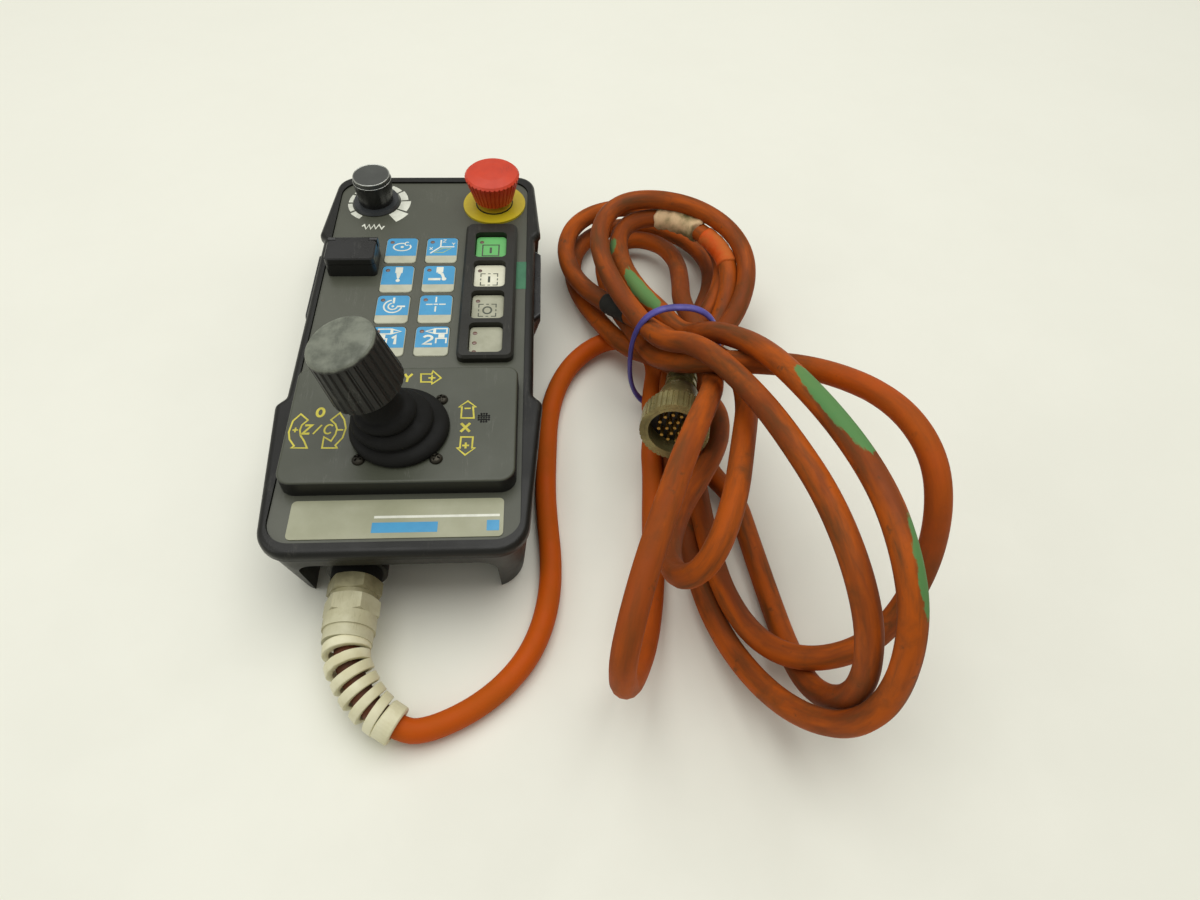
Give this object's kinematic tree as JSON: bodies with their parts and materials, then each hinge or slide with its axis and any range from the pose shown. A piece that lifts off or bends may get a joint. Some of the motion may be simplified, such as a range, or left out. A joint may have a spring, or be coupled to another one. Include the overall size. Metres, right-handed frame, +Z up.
{
  "type": "machine hand controller",
  "caption": "Console with a leaning joystick, legend keys, speed dial, stop button and flip-covered switch, on an orange cable tied in a loose hank that ends in a round plug.",
  "frame": {"origin": "under the middle of the console on the table that it stands on", "axes": "+X to the user's right, +Y away from the user towards the stop button, +Z up"},
  "size_m": [0.2805, 0.338, 0.118],
  "materials": {
    "case_plastic": "satin",
    "panel_film": "matte",
    "plate_plastic": "satin",
    "black_plastic": "satin",
    "grey_plastic": "satin",
    "knob_plastic": "satin",
    "soft_rubber": "matte",
    "key_blue": "satin",
    "key_green": "satin",
    "key_cream": "satin",
    "key_beige": "satin",
    "plate_beige": "satin",
    "stop_red": "satin",
    "stop_yellow": "satin",
    "steel": "satin",
    "gimbal_metal": "satin",
    "board": "satin",
    "gland_cream": "satin",
    "cable_orange": "satin",
    "hank_fill": "satin",
    "tie_blue": "satin",
    "plug_olive": "satin",
    "plug_insulator": "matte"
  },
  "bodies": {
    "housing": {"lower_case": "case_plastic", "top_cover": "case_plastic", "key_guard": "case_plastic", "keypad_overlay": "panel_film", "joystick_plate": "plate_plastic", "flip_base": "black_plastic", "stop_bezel": "black_plastic", "stop_block": "black_plastic", "enable_switches": "black_plastic", "stick_housing": "black_plastic", "buzzer": "black_plastic", "stick_gaiter": "soft_rubber", "gland_washer": "soft_rubber", "indicator_lens": "key_beige", "name_plate": "plate_beige", "stop_disc": "stop_yellow", "case_screws": "steel", "stick_screws": "steel", "flip_pin": "steel", "stop_nut": "steel", "board_standoffs": "steel", "dial_can": "gimbal_metal", "main_board": "board", "keypad_board": "board", "gland_body": "gland_cream", "gland_lock_nut": "gland_cream", "gland_cap": "gland_cream", "strain_relief": "gland_cream", "cable_lead": "cable_orange", "cable_hank": "hank_fill", "hank_tie": "tie_blue", "plug_shell": "plug_olive", "plug_insert": "plug_insulator"},
    "speed_dial": {"dial_shaft": "steel", "dial_skirt": "black_plastic", "dial_knob": "black_plastic", "dial_cap": "grey_plastic"},
    "stop_plunger": {"stop_stem": "steel"},
    "stop_button": {"stop_head": "stop_red"},
    "flip_cover": {"flip_lid": "black_plastic"},
    "flip_switch": {"flip_button": "grey_plastic"},
    "enable_right": {"enable_bar_right": "black_plastic"},
    "enable_left": {"enable_bar_left": "black_plastic"},
    "gimbal": {"gimbal_ring": "gimbal_metal"},
    "lever": {"lever_shaft": "steel", "lever_cross_pin": "steel"},
    "lever_knob": {"stick_knob": "knob_plastic"},
    "plug_nut": {"plug_ring": "plug_olive"},
    "body_soft_key_1": {"soft_key_1": "key_blue"},
    "body_soft_key_2": {"soft_key_2": "key_blue"},
    "body_soft_key_3": {"soft_key_3": "key_blue"},
    "body_soft_key_4": {"soft_key_4": "key_blue"},
    "body_soft_key_5": {"soft_key_5": "key_blue"},
    "body_soft_key_6": {"soft_key_6": "key_blue"},
    "body_soft_key_7": {"soft_key_7": "key_blue"},
    "body_soft_key_8": {"soft_key_8": "key_blue"},
    "body_guarded_key_1": {"guarded_key_1": "key_green"},
    "body_guarded_key_2": {"guarded_key_2": "key_cream"},
    "body_guarded_key_3": {"guarded_key_3": "key_beige"}
  },
  "joints": [
    {"name": "soft_key_1_press", "type": "slide", "parent": "housing", "child": "body_soft_key_1", "axis": [0, 0, -1], "range_m": [0, 0.0005], "stiffness_N_per_m": 1500},
    {"name": "soft_key_2_press", "type": "slide", "parent": "housing", "child": "body_soft_key_2", "axis": [0, 0, -1], "range_m": [0, 0.0005], "stiffness_N_per_m": 1500},
    {"name": "soft_key_3_press", "type": "slide", "parent": "housing", "child": "body_soft_key_3", "axis": [0, 0, -1], "range_m": [0, 0.0005], "stiffness_N_per_m": 1500},
    {"name": "soft_key_4_press", "type": "slide", "parent": "housing", "child": "body_soft_key_4", "axis": [0, 0, -1], "range_m": [0, 0.0005], "stiffness_N_per_m": 1500},
    {"name": "soft_key_5_press", "type": "slide", "parent": "housing", "child": "body_soft_key_5", "axis": [0, 0, -1], "range_m": [0, 0.0005], "stiffness_N_per_m": 1500},
    {"name": "soft_key_6_press", "type": "slide", "parent": "housing", "child": "body_soft_key_6", "axis": [0, 0, -1], "range_m": [0, 0.0005], "stiffness_N_per_m": 1500},
    {"name": "soft_key_7_press", "type": "slide", "parent": "housing", "child": "body_soft_key_7", "axis": [0, 0, -1], "range_m": [0, 0.0005], "stiffness_N_per_m": 1500},
    {"name": "soft_key_8_press", "type": "slide", "parent": "housing", "child": "body_soft_key_8", "axis": [0, 0, -1], "range_m": [0, 0.0005], "stiffness_N_per_m": 1500},
    {"name": "guarded_key_1_press", "type": "slide", "parent": "housing", "child": "body_guarded_key_1", "axis": [0, 0, -1], "range_m": [0, 0.0005], "stiffness_N_per_m": 1500},
    {"name": "guarded_key_2_press", "type": "slide", "parent": "housing", "child": "body_guarded_key_2", "axis": [0, 0, -1], "range_m": [0, 0.0005], "stiffness_N_per_m": 1500},
    {"name": "guarded_key_3_press", "type": "slide", "parent": "housing", "child": "body_guarded_key_3", "axis": [0, 0, -1], "range_m": [0, 0.0005], "stiffness_N_per_m": 1500},
    {"name": "speed_turn", "type": "hinge", "parent": "housing", "child": "speed_dial", "pos_m": [-0.0324, 0.1029, 0.045], "axis": [0, 0, 1], "range_deg": [-140, 140]},
    {"name": "stop_press", "type": "slide", "parent": "housing", "child": "stop_plunger", "axis": [0, 0, -1], "range_m": [0, 0.0036]},
    {"name": "stop_release", "type": "hinge", "parent": "stop_plunger", "child": "stop_button", "pos_m": [0.0341, 0.1003, 0.06], "axis": [0, 0, -1], "range_deg": [0, 40], "stiffness_Nm_per_rad": 0.05},
    {"name": "flip_open", "type": "hinge", "parent": "housing", "child": "flip_cover", "pos_m": [-0.0378, 0.0584, 0.0545], "axis": [-1, 0, 0], "range_deg": [0, 105]},
    {"name": "flip_switch_press", "type": "slide", "parent": "housing", "child": "flip_switch", "axis": [0, 0, -1], "range_m": [0, 0.002], "stiffness_N_per_m": 500},
    {"name": "enable_right_press", "type": "slide", "parent": "housing", "child": "enable_right", "axis": [-1, 0, 0], "range_m": [0, 0.0015], "stiffness_N_per_m": 1500},
    {"name": "enable_left_press", "type": "slide", "parent": "housing", "child": "enable_left", "axis": [1, 0, 0], "range_m": [0, 0.0015], "stiffness_N_per_m": 1500},
    {"name": "stick_tilt_x", "type": "hinge", "parent": "housing", "child": "gimbal", "pos_m": [0, -0.0683, 0.048], "axis": [0, 1, 0], "range_deg": [-6, 34], "deforming": ["stick_gaiter"]},
    {"name": "stick_tilt_y", "type": "hinge", "parent": "gimbal", "child": "lever", "pos_m": [0, -0.0683, 0.048], "axis": [0.9703, 0, 0.2419], "range_deg": [-20, 20], "deforming": ["stick_gaiter"]},
    {"name": "stick_twist", "type": "hinge", "parent": "lever", "child": "lever_knob", "pos_m": [0, -0.0683, 0.048], "axis": [-0.2419, 0, 0.9703], "range_deg": [-30, 30], "stiffness_Nm_per_rad": 0.05},
    {"name": "plug_nut_turn", "type": "hinge", "parent": "housing", "child": "plug_nut", "pos_m": [0.1215, -0.066, 0.046], "axis": [-0.1978, -0.9579, 0.2082], "continuous": true}
  ]
}
